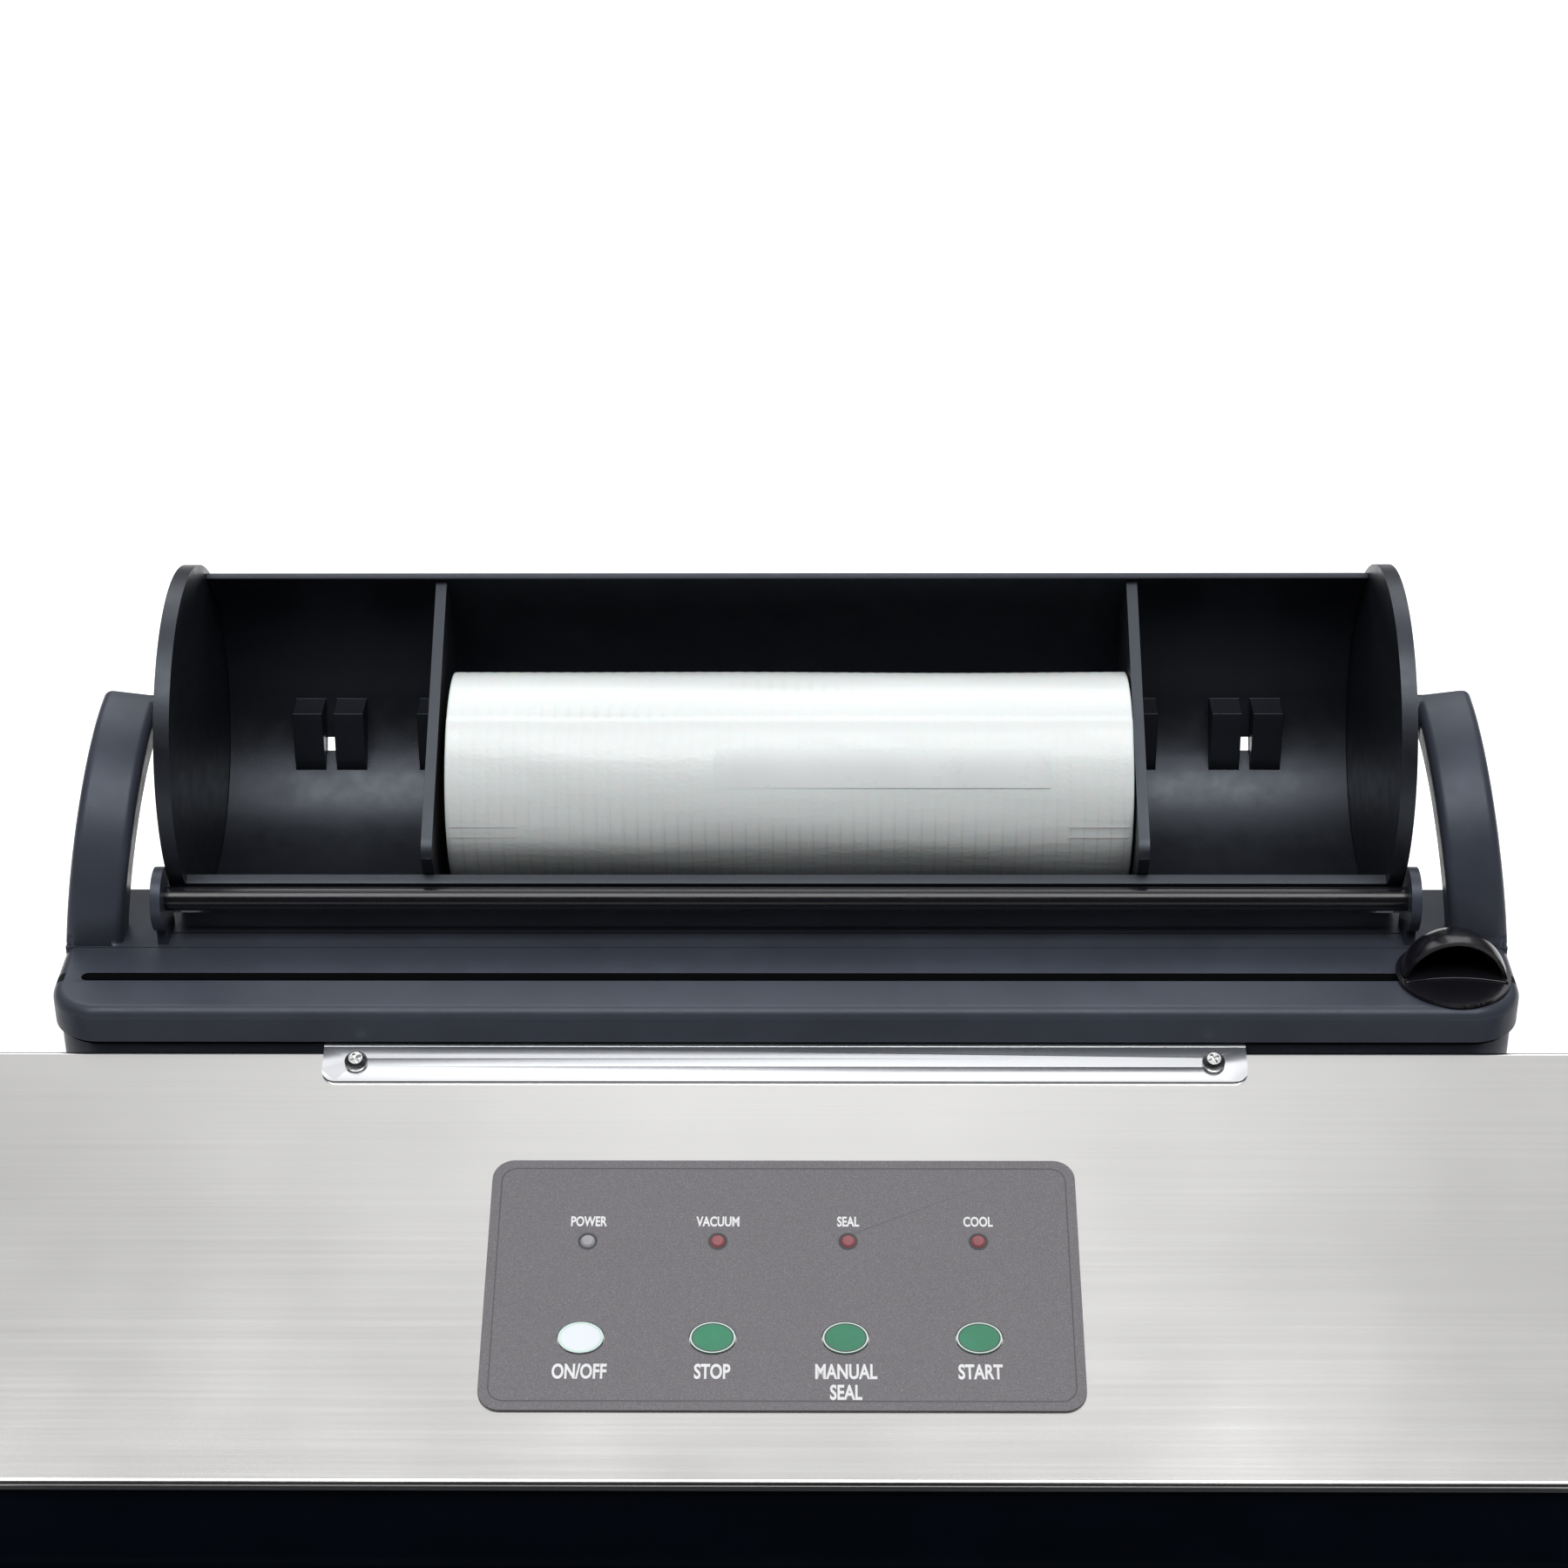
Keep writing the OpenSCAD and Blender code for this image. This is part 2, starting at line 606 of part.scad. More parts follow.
// Thick rim along the trough's lower front edge
module trough_lip() {
    along_x(2 * (disc_x - disc_t)) intersection() {
        difference() {
            circle(disc_r - 0.3);
            circle(trough_in);
        }
        polygon([[0, 0], 80 * [-cos(lip_at), -sin(lip_at)], 80 * [-cos(lip_at + 4), -sin(lip_at + 4)]]);
    }
}

module trough_sheet() color([0.12, 0.12, 0.13]) on_holder() difference() {
    union() {
        along_x(2 * (disc_x - disc_t)) difference() {
            circle(trough_r);
            circle(trough_in);
            polygon([[0, 0], 70 * [-cos(lip_at), -sin(lip_at)], [-90, 0], [-90, 90], [0, 90],
                     70 * [cos(53), sin(53)]]);
        }
        clip_blocks();
        trough_lip();
    }
    both_sides() for (c = clip_xs) box([c - 1.55, c + 1.55], [36, 60], [-28.2, -23.9]);
}

module end_disc(s) color([0.1, 0.1, 0.1]) on_holder() difference() {
    along_x(disc_t, s * (disc_x - disc_t / 2)) circle(disc_r);
    along_x(2 * pin_depth, s * disc_x) translate([0, pivot_up]) circle(pin_r + run);
}

module end_disc_left() end_disc(-1);
module end_disc_right() end_disc(1);

// Divider: a disc cut off along a chord at its open front
module divider(s) color([0.1, 0.1, 0.1]) on_holder()
    along_x(divider_t, s * divider_x) difference() {
        circle(trough_in - 0.1);
        polygon([[31, 37], [-42, -11], [-44.6, -13.4], [-45.3, -16], [-70, -16], [-70, 90], [31, 90]]);
    }

module divider_left() divider(-1);
module divider_right() divider(1);

module pivot_pins() color("silver") on_holder() both_sides()
    along_x(16, disc_x - pin_depth + 8.3) translate([0, pivot_up]) circle(pin_r);

module film_roll() color([0.9, 0.93, 0.88]) on_holder() along_x(roll_w, roll_dx)
    translate(roll_at) difference() {
        circle(roll_r);
        circle(core_r);
    }

module roll_core() color("peru") on_holder() along_x(roll_w, roll_dx)
    translate(roll_at) difference() {
        circle(core_r);
        circle(core_r - 1.5);
    }

base_pan();
rubber_feet();
top_cover();
front_fascia();
side_panel_left();
side_panel_right();
rear_panel();
front_deck();
front_apron();
vacuum_trough();
lower_gasket();
seal_bar();
seal_element();
seal_tape();
hinge_brackets();
lid_hinge_pins();
lid_shell();
lid_liner();
upper_gasket();
pressure_strip();
lid_handle();
control_overlay();
power_lamp();
status_lamps();
control_board();
button_1();
button_2();
button_3();
button_4();
pump_body();
pump_heads();
pump_motor();
transformer();
fan_frame();
fan_rotor();
solenoid_valve();
vacuum_hose();
power_inlet();
cover_screws();
bracket_plate();
bracket_screws();
holder_base();
base_screws();
holder_arm_left();
holder_arm_right();
rod_holders();
guide_rod();
cutter_bar();
cutter_knob();
cutter_blade();
trough_sheet();
end_disc_left();
end_disc_right();
divider_left();
divider_right();
pivot_pins();
film_roll();
roll_core();
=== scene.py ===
"""Vacuum sealer with a roll holder and slide cutter: looks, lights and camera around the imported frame."""
import json
import math

import bpy
import numpy as np
from mathutils import Matrix, Vector


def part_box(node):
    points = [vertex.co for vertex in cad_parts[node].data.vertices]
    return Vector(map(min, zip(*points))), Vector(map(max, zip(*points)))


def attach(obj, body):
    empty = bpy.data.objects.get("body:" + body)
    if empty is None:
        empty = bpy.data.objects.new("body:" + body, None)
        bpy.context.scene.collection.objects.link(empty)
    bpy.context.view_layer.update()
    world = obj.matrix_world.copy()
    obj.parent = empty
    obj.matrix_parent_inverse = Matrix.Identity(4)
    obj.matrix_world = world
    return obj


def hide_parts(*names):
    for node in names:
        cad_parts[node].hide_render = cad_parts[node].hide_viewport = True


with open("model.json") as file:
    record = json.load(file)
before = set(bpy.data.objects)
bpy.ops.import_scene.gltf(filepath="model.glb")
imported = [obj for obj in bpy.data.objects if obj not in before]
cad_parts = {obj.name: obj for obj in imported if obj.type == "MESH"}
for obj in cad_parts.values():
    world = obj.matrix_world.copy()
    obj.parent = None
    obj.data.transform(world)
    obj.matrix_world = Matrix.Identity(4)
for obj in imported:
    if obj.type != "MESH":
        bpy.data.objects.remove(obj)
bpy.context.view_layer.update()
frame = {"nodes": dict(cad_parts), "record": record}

NODES = frame["nodes"]
MM = 0.001


# ---- driving places, read from the frame -------------------------------------------------------

def middle(node):
    low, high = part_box(node)
    return (low + high) / 2


DRUM = middle("end_disc_left")
DRUM.x = 0
PRESS = next(j for j in frame["record"]["behaviour"]["joints"] if j["name"] == "first_button_press")["axis"]
DOWN_SLOPE = Vector((0, PRESS[2], -PRESS[1]))
NORMAL = -Vector(PRESS)
REAR_EDGE = Vector((0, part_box("rear_panel")[1].y, 0.175))
BUTTONS = ["button_1", "button_2", "button_3", "button_4"]
BUTTON_BODIES = ["first_button", "second_button", "third_button", "fourth_button"]
BUTTON_S = 94.7         # distances down the slope and heights above the panel, in mm
LAMP_S = 64.6
BUTTON_TOP = 1.1
BUTTON_ASPECT = 4.7 / 6.15
OVERLAY_TOP = 0.8
INK = 0.03              # how far a printed line stands above its surface, in mm


def on_panel(x, s, h):
    """A place on the sloped panel, in mm: across, down the slope and above it."""
    return REAR_EDGE + (Vector((x, 0, 0)) + s * DOWN_SLOPE + h * NORMAL) * MM


def panel_place(node):
    """Where a node's middle is on the panel, as (across, down the slope) in mm."""
    offset = middle(node) - REAR_EDGE
    return offset.x / MM, offset.dot(DOWN_SLOPE) / MM


# ---- materials ---------------------------------------------------------------------------------

class Shader:
    """A Principled material, with short calls for the textures that feed it."""

    def __init__(self, name):
        self.material = bpy.data.materials.new(name)
        self.material.use_nodes = True
        self.tree = self.material.node_tree
        self.principled = self.tree.nodes["Principled BSDF"]
        self.place = self.add("ShaderNodeTexCoord").outputs["Object"]

    def add(self, kind, **settings):
        node = self.tree.nodes.new(kind)
        for key, value in settings.items():
            setattr(node, key, value)
        return node

    def link(self, source, target):
        self.tree.links.new(source, target)

    def set(self, **values):
        for key, value in values.items():
            self.principled.inputs[key.replace("_", " ")].default_value = value

    def stretched(self, scale):
        mapping = self.add("ShaderNodeMapping")
        mapping.inputs["Scale"].default_value = scale
        self.link(self.place, mapping.inputs["Vector"])
        return mapping.outputs["Vector"]

    def noise(self, scale, detail=3.0, stretch=(1, 1, 1), rough=0.55):
        node = self.add("ShaderNodeTexNoise")
        node.inputs["Scale"].default_value = scale
        node.inputs["Detail"].default_value = detail
        node.inputs["Roughness"].default_value = rough
        self.link(self.stretched(stretch), node.inputs["Vector"])
        return node.outputs["Fac"]

    def math(self, operation, *values):
        node = self.add("ShaderNodeMath", operation=operation)
        for socket, value in zip(node.inputs, values):
            if isinstance(value, (int, float)):
                socket.default_value = value
            else:
                self.link(value, socket)
        return node.outputs[0]

    def ramp(self, source, stops):
        node = self.add("ShaderNodeValToRGB")
        ramp = node.color_ramp
        while len(ramp.elements) < len(stops):
            ramp.elements.new(0.5)
        for element, (place, colour) in zip(ramp.elements, stops):
            element.position = place
            element.color = (*colour, 1)
        self.link(source, node.inputs["Fac"])
        return node.outputs["Color"]

    def span(self, source, low, high, start=0.3, end=0.7):
        """Carries source's stretch from start to end over to low to high."""
        node = self.add("ShaderNodeMapRange")
        for key, value in (("From Min", start), ("From Max", end), ("To Min", low), ("To Max", high)):
            node.inputs[key].default_value = value
        self.link(source, node.inputs["Value"])
        return node.outputs["Result"]

    def colour(self, output):
        self.link(output, self.principled.inputs["Base Color"])

    def roughness(self, output):
        self.link(output, self.principled.inputs["Roughness"])

    def bumps(self, *layers):
        """Each layer is (height source, strength, distance in metres)."""
        normal = None
        for source, strength, distance in layers:
            node = self.add("ShaderNodeBump")
            node.inputs["Strength"].default_value = strength
            node.inputs["Distance"].default_value = distance
            self.link(source, node.inputs["Height"])
            if normal is not None:
                self.link(normal, node.inputs["Normal"])
            normal = node.outputs["Normal"]
        self.link(normal, self.principled.inputs["Normal"])


def scaled(colour, k):
    """A colour made k times as bright."""
    return tuple(min(1.0, c * k) for c in colour)


def moulded(name, colour, rough, grain=1400, grain_depth=0.00004, mottle=0.12, strength=0.5, **more):
    """Moulded plastic or rubber: a fine pebble, faint mottling and uneven gloss."""
    s = Shader(name)
    s.set(**more)
    patch = s.noise(45, 4)
    s.colour(s.ramp(patch, [(0.3, scaled(colour, 1 - mottle)), (0.7, scaled(colour, 1 + mottle))]))
    s.roughness(s.span(s.noise(160, 4), rough - 0.05, rough + 0.05))
    s.bumps((s.noise(grain, 2), strength, grain_depth))
    return s.material


def brushed(name, colour, rough, along=(6, 900, 900), depth=0.000012, strength=0.35):
    """Sheet metal with a fine grain along one axis, faint handling marks and uneven polish."""
    s = Shader(name)
    s.set(Metallic=1.0)
    grain = s.noise(1.0, 5, along, 0.65)
    mix = s.math("MULTIPLY_ADD", grain, 0.5, s.noise(7, 3))
    s.colour(s.ramp(mix, [(0.45, scaled(colour, 0.96)), (1.0, scaled(colour, 1.04))]))
    s.roughness(s.span(mix, rough - 0.05, rough + 0.07, 0.5, 1.0))
    s.bumps((grain, strength, depth))
    return s.material


def cast(name, colour, rough, metallic=1.0, grain=500):
    """Cast or turned metal, or paint over it, with blotches and a fine pitted surface."""
    s = Shader(name)
    s.set(Metallic=metallic)
    patch = s.noise(90, 5)
    s.colour(s.ramp(patch, [(0.3, scaled(colour, 0.8)), (0.7, scaled(colour, 1.12))]))
    s.roughness(s.span(s.noise(220, 4), rough - 0.08, rough + 0.1))
    s.bumps((s.noise(grain, 4), 0.5, 0.00012))
    return s.material


def plastic_with_painted_slot_shade():
    """The bar's plastic, with painted shade in the cutter's slot: its walls are coloured nearly black and
    made matt.
    """
    s = Shader("plastic_with_painted_slot_shade")
    s.set(Specular_IOR_Level=0.35, Specular_Tint=COOL)
    split = s.add("ShaderNodeSeparateXYZ")
    s.link(s.place, split.inputs["Vector"])
    across = s.math("ABSOLUTE", s.math("SUBTRACT", split.outputs["Y"], middle("cutter_knob").y))
    below = s.math("LESS_THAN", split.outputs["Z"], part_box("cutter_bar")[1].z - 0.00005)
    slot_shade_mask = s.math("MULTIPLY", s.math("LESS_THAN", across, SHADED_SLOT_HALF), below)
    patch = s.noise(45, 4)
    # painted shade: inside the slot the colour falls to near black, standing in for the slot's shadow
    s.colour(s.ramp(s.math("MULTIPLY_ADD", slot_shade_mask, -2.0, patch),
                    [(0.0, (0.001, 0.001, 0.0015)), (0.3, scaled(HOLDER, 0.9)), (0.7, scaled(HOLDER, 1.1))]))
    s.roughness(s.math("MULTIPLY_ADD", slot_shade_mask, 0.5, s.span(s.noise(160, 4), 0.32, 0.42)))
    s.bumps((s.noise(1500, 2), 0.5, 0.00005))
    return s.material


def speckled_overlay():
    """Printed polycarbonate: a grey ink with fine pale flecks under a matte skin."""
    s = Shader("overlay_grey")
    flecks = s.noise(3200, 2, rough=0.7)
    s.colour(s.ramp(flecks, [(0.3, (0.1, 0.094, 0.105)), (0.52, (0.137, 0.129, 0.141)),
                             (0.72, (0.235, 0.225, 0.24))]))
    s.roughness(s.span(s.noise(60, 3), 0.42, 0.52))
    s.bumps((flecks, 0.25, 0.00003))
    return s.material


def bag_film():
    """Wound bag film: clear, milky and embossed, with painted shade in its embossed lines low on the roll;
    its ends show the edges of the layers.
    """
    s = Shader("bag_film")
    s.set(Coat_Weight=0.35, Coat_Roughness=0.16, Subsurface_Weight=0.25, Subsurface_Scale=0.004, IOR=1.5)
    low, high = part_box("film_roll")
    split = s.add("ShaderNodeSeparateXYZ")
    s.link(s.place, split.inputs["Vector"])
    y = s.math("SUBTRACT", split.outputs["Y"], (low.y + high.y) / 2)
    z = s.math("SUBTRACT", split.outputs["Z"], (low.z + high.z) / 2)
    radius = s.math("SQRT", s.math("ADD", s.math("MULTIPLY", y, y), s.math("MULTIPLY", z, z)))
    layers = s.math("SINE", s.math("MULTIPLY", radius, 9000))
    depth = s.math("ADD", s.math("MULTIPLY", radius, 28), s.math("MULTIPLY", layers, 0.018))
    lines = s.math("LESS_THAN", s.math("FRACT", s.math("MULTIPLY", split.outputs["X"], 250)), 0.16)
    # painted shade: the embossed lines are coloured darker towards the bottom of the roll
    low_painted_line_shade = s.math("MULTIPLY", lines, s.span(z, 0.0, 0.03, 0.012, -0.004))
    depth = s.math("SUBTRACT", depth, low_painted_line_shade)
    s.colour(s.ramp(depth, [(0.46, (0.42, 0.27, 0.15)), (0.58, (0.55, 0.5, 0.42)), (0.84, (0.62, 0.66, 0.61)),
                            (0.9, (0.8, 0.835, 0.83))]))
    s.roughness(s.span(s.noise(90, 4, (1, 3, 3)), 0.3, 0.5))
    dimples = s.add("ShaderNodeTexVoronoi")
    dimples.inputs["Scale"].default_value = 900
    s.link(s.place, dimples.inputs["Vector"])
    s.bumps((s.noise(1, 3, (30, 160, 160)), 0.35, 0.0006), (dimples.outputs["Distance"], 0.3, 0.00015))
    return s.material


COOL = (0.8, 0.88, 1.0, 1)
HOLDER = (0.047, 0.053, 0.071)
SHADED_SLOT_HALF = 0.00207     # half the width of the cutter's slot, with its walls, that is coloured with painted shade

MATERIALS = {
    "cutter_bar": plastic_with_painted_slot_shade(),
    "stainless": brushed("stainless", (0.64, 0.632, 0.62), 0.21),
    "steel_dull": brushed("steel_dull", (0.45, 0.45, 0.45), 0.42),
    "polished_plate": brushed("polished_plate", (0.7, 0.71, 0.73), 0.27, (8, 500, 500), 0.000006),
    "bright_screw": cast("bright_screw", (0.7, 0.7, 0.7), 0.2, grain=1500),
    "bar_aluminium": cast("bar_aluminium", (0.6, 0.6, 0.61), 0.38),
    "rubber": moulded("rubber", (0.02, 0.02, 0.02), 0.75, 900, 0.00008),
    "gasket_rubber": moulded("gasket_rubber", (0.03, 0.03, 0.03), 0.85, 1600, 0.00015),
    "red_rubber": moulded("red_rubber", (0.4, 0.05, 0.03), 0.6, 1200),
    "black_plastic": moulded("black_plastic", (0.018, 0.02, 0.027), 0.45),
    "holder_plastic": moulded("holder_plastic", HOLDER, 0.37, 1500, 0.00005, Specular_IOR_Level=0.35,
                              Specular_Tint=COOL),
    # painted shade: the trough's black plastic is coloured far darker than the holder's, to stand for the
    # shade inside the drum
    "trough_plastic": moulded("trough_plastic", (0.008, 0.009, 0.013), 0.4, 1500, 0.00004,
                              Specular_IOR_Level=0.7, Specular_Tint=COOL),
    "gloss_rod": moulded("gloss_rod", (0.009, 0.009, 0.012), 0.2, 400, 0.00001, strength=0.2),
    "gloss_panel": moulded("gloss_panel", (0.004, 0.007, 0.013), 0.14, 300, 0.00001, strength=0.2,
                           Specular_IOR_Level=0.1),
    "lid_plastic": moulded("lid_plastic", (0.014, 0.016, 0.02), 0.36, 1300, 0.000012),
    "overlay_grey": speckled_overlay(),
    "lamp_white": moulded("lamp_white", (0.35, 0.35, 0.37), 0.2, 300, 0.00001),
    "lamp_red": moulded("lamp_red", (0.3, 0.1, 0.11), 0.2, 300, 0.00001),
    "button_white": moulded("button_white", (0.8, 0.85, 0.9), 0.35, 2600, 0.00002, 0.03),
    "button_green": moulded("button_green", (0.028, 0.22, 0.115), 0.35, 900, 0.00004, 0.22),
    "board_green": moulded("board_green", (0.01, 0.1, 0.03), 0.3, 500, 0.0001, 0.3),
    "painted_motor": cast("painted_motor", (0.06, 0.06, 0.07), 0.4, 0.0),
    "transformer_iron": cast("transformer_iron", (0.2, 0.13, 0.07), 0.5, 0.3),
    "valve_blue": moulded("valve_blue", (0.03, 0.07, 0.22), 0.4),
    "hose_clear": moulded("hose_clear", (0.5, 0.5, 0.52), 0.3, 500),
    "seal_tape": moulded("seal_tape", (0.4, 0.24, 0.1), 0.5, 3000, 0.0001, 0.15),
    "bag_film": bag_film(),
    "core_card": moulded("core_card", (0.35, 0.2, 0.1), 0.9, 700, 0.0001, 0.2),
}
INK_WHITE = moulded("ink_white", (0.78, 0.78, 0.8), 0.45, 3000, 0.00002, 0.06)
INK_DARK = moulded("ink_dark", (0.075, 0.07, 0.078), 0.45, 3000, 0.00002, 0.1)
RING_WHITE = moulded("ring_white", (0.62, 0.78, 0.72), 0.4, 2600, 0.00002, 0.08)
SEAM_DARK = moulded("seam_dark", (0.012, 0.013, 0.016), 0.6, 1500)
SEAL_LINE = moulded("seal_line", (0.88, 0.9, 0.9), 0.3, 1200, 0.00003, 0.05)
PALE_PANEL = moulded("pale_panel", (0.78, 0.81, 0.81), 0.3, 1200, 0.00003, 0.03)
BEZEL = moulded("lamp_bezel", (0.05, 0.05, 0.055), 0.3, 1200, 0.00003, 0.1)
BRASS = cast("brass", (0.65, 0.5, 0.25), 0.3, grain=900)

SLOTS = {row["node"]: row["material_slot"] for row in frame["record"]["subparts"]}
PLAIN_EDGE = 0.25       # widths of the nodes' softened edges, in mm
SOFT_EDGE = {"cutter_bar": 0.4, "holder_base": 0.8, "rod_holders": 0.5, "trough_sheet": 0.35,
             "end_disc_left": 0.9, "end_disc_right": 0.9, "divider_left": 0.7, "divider_right": 0.7,
             "lid_shell": 0.6, "lid_handle": 1.5, "rubber_feet": 0.8, "front_deck": 0.8,
             "cutter_knob": 0.45, "bracket_plate": 0.2, "control_overlay": 0.15, "top_cover": 0.2}


def dress(node):
    """Gives a CAD node its material, soft edges and smooth shading; its mesh stays as it is."""
    o = NODES[node]
    o.data.materials.clear()
    o.data.materials.append(MATERIALS.get(node) or MATERIALS[SLOTS[node]])
    for polygon in o.data.polygons:
        polygon.use_smooth = True
    weld = o.modifiers.new("weld", "WELD")
    weld.merge_threshold = 0.00002
    bevel = o.modifiers.new("soft_edges", "BEVEL")
    bevel.width = SOFT_EDGE.get(node, PLAIN_EDGE) * MM
    bevel.segments = 2
    bevel.limit_method = "ANGLE"
    bevel.angle_limit = math.radians(38)
    bevel.use_clamp_overlap = True
    normals = o.modifiers.new("flat_faces", "WEIGHTED_NORMAL")
    normals.mode = "FACE_AREA"
    normals.weight = 80


# ---- new pieces --------------------------------------------------------------------------------

def piece(name, vertices, faces, material, body, smooth=False):
    """A new mesh with the given material, riding on a body."""
    mesh = bpy.data.meshes.new(name)
    mesh.from_pydata([tuple(v) for v in vertices], [], faces)
    mesh.materials.append(material)
    for polygon in mesh.polygons:
        polygon.use_smooth = smooth
    mesh.update()
    o = bpy.data.objects.new(name, mesh)
    bpy.context.scene.collection.objects.link(o)
    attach(o, body)
    return o


def band(outer, inner):
    """Vertices and quads of a flat band between two closed outlines of the same length."""
    n = len(outer)
    faces = [(i, (i + 1) % n, n + (i + 1) % n, n + i) for i in range(n)]
    return outer + inner, faces


def rounded_outline(cx, cs, w, l, r, h, steps=10):
    """The corner-rounded outline of a w by l rectangle on the panel, centred at (cx, cs), in mm."""
    points = []
    for sx, ss, start in ((1, 1, 0), (-1, 1, 90), (-1, -1, 180), (1, -1, 270)):
        for i in range(steps + 1):
            a = math.radians(start + 90 * i / steps)
            points.append(on_panel(cx + sx * (w / 2 - r) + r * math.cos(a),
                                   cs + ss * (l / 2 - r) + r * math.sin(a), h))
    return points


def lamp_places():
    """The four lamps' places across the panel, in mm."""
    first = panel_place("power_lamp")[0]
    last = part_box("status_lamps")[1].x / MM - 2
    return [first + (last - first) * i / 3 for i in range(4)]


def overlay_border():
    """The thin dark line printed just inside the overlay's edge."""
    low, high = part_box("control_overlay")
    x, s = panel_place("control_overlay")
    w, l = (high.x - low.x) / MM, ((high - low).y / abs(DOWN_SLOPE.y)) / MM
    h = OVERLAY_TOP + INK
    vertices, faces = band(rounded_outline(x, s, w - 5, l - 5.4, 4.4, h),
                           rounded_outline(x, s, w - 5.8, l - 6.2, 4.0, h))
    piece("overlay_border", vertices, faces, INK_DARK, "machine")


def panel_captions():
    """Plain function words over the lamps and under the buttons."""
    lamp_words = ("POWER", "VACUUM", "SEAL", "COOL")
    button_words = (("ON/OFF",), ("STOP",), ("MANUAL", "SEAL"), ("START",))
    rows = [(word, x, LAMP_S - 6.4, 3.1) for word, x in zip(lamp_words, lamp_places())]
    for words, node in zip(button_words, BUTTONS):
        for i, word in enumerate(words):
            rows.append((word, panel_place(node)[0], BUTTON_S + 10 + 6.2 * i, 4.4))
    vertices, faces = [], []
    for word, x, s, cap in rows:
        curve = bpy.data.curves.new(word, "FONT")
        curve.body = word
        curve.align_x = "CENTER"
        curve.offset = 0.028
        curve.resolution_u = 4
        letters = bpy.data.objects.new(word, curve).to_mesh()
        top = max(v.co.y for v in letters.vertices)
        k = cap / top
        first = len(vertices)
        for v in letters.vertices:
            vertices.append(on_panel(x + v.co.x * k * 0.66, s - (v.co.y - top / 2) * k, OVERLAY_TOP + 0.04))
        faces += [[first + i for i in p.vertices] for p in letters.polygons]
    piece("panel_captions", vertices, faces, INK_WHITE, "machine")


def button_rings():
    """A pale rim and a dark groove printed round each button."""
    for node, body in zip(BUTTONS, BUTTON_BODIES):
        x = panel_place(node)[0]
        low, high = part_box(node)
        rx = (high.x - low.x) / 2 / MM
        turns = [2 * math.pi * i / 72 for i in range(72)]

        def ring(k):
            return [on_panel(x + k * rx * math.cos(a), BUTTON_S + k * rx * BUTTON_ASPECT * math.sin(a),
                             BUTTON_TOP + INK) for a in turns]

        groove = RING_WHITE if node == "button_1" else INK_DARK
        rings = (("rim", 0.995, 0.93, RING_WHITE), ("groove", 0.93, 0.86, groove))
        for suffix, outer, inner, material in rings:
            vertices, faces = band(ring(outer), ring(inner))
            piece(f"{node}_{suffix}", vertices, faces, material, body)


def wound_film():
    """The film roll: a spiral with a loose outer edge, embossed lines across it and uneven ends."""
    low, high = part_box("film_roll")
    cy, cz = (low.y + high.y) / 2, (low.z + high.z) / 2
    core_low, core_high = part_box("roll_core")
    outer, inner = (high.z - low.z) / 2, (core_high.z - core_low.z) / 2
    turns, columns, rings = 180, 408, 22
    loose_edge = math.radians(118)
    layer, emboss_pitch, emboss_height = 0.0005, 0.004, 0.0001
    x = np.linspace(low.x, high.x, columns)
    a = np.linspace(0, 2 * np.pi, turns, endpoint=False)
    step = (((a - loose_edge) / (2 * np.pi)) % 1.0) * layer
    emboss = emboss_height * np.abs(np.sin(np.pi * (x - low.x) / emboss_pitch)) ** 0.5
    wave = (0.00012 * np.sin(3 * a[:, None] + 31 * x[None, :])
            + 0.00009 * np.sin(7 * a[:, None] - 55 * x[None, :]))
    r_out = outer - 0.0003 - step[:, None] + emboss[None, :] + wave
    grid = []
    for i, angle in enumerate(a):
        c, s = math.cos(angle), math.sin(angle)
        path = [(x[k], r_out[i, k]) for k in range(columns)]
        for side, end, last in ((1, high.x, r_out[i, -1]), (-1, low.x, inner)):
            first, target = (last, inner) if side > 0 else (inner, r_out[i, 0])
            for k in range(1, rings):
                t = k / rings
                tuck = 0.0003 * (0.5 + 0.5 * math.sin(37 * t + angle)) * math.sin(math.pi * t)
                path.append((end - side * tuck, first + (target - first) * t))
        grid.append([(px, cy + c * r, cz + s * r) for px, r in path])
    n = len(grid[0])
    faces = []
    for i in range(turns):
        this, following = i * n, ((i + 1) % turns) * n
        faces += [(this + k, following + k, following + (k + 1) % n, this + (k + 1) % n) for k in range(n)]
    vertices = [v for row in grid for v in row]
    film = piece("wound_film", vertices, faces, MATERIALS["bag_film"], "roll", True)
    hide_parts("film_roll")


def film_patch(name, x_spans, angles, material):
    """Thin printed or sealed patches on the film, each between two angles about the roll's axis."""
    low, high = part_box("film_roll")
    cy, cz, r = (low.y + high.y) / 2, (low.z + high.z) / 2, (high.z - low.z) / 2 - 0.00006
    vertices, faces = [], []
    for x0, x1 in x_spans:
        for start, end in angles:
            steps = max(2, int((end - start) / 2))
            first = len(vertices)
            for k in range(steps + 1):
                a = math.radians(start + (end - start) * k / steps)
                vertices += [(x, cy + r * math.cos(a), cz + r * math.sin(a)) for x in (x0, x1)]
            faces += [(first + 2 * k, first + 2 * k + 1, first + 2 * k + 3, first + 2 * k + 2)
                      for k in range(steps)]
    piece(name, vertices, faces, material, "roll", True)


def film_marks():
    """Two seal lines near each end of the roll, and the pale panel that a bag's contents are written on."""
    low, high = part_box("film_roll")
    ends = ((low.x + 0.001, low.x + 0.021), (high.x - 0.019, high.x - 0.001))
    film_patch("film_seal_lines", ends, ((175.2, 176.1), (181.3, 182.2)), SEAL_LINE)
    film_patch("write_on_panel", ((-0.021, 0.078),), ((135, 155),), PALE_PANEL)


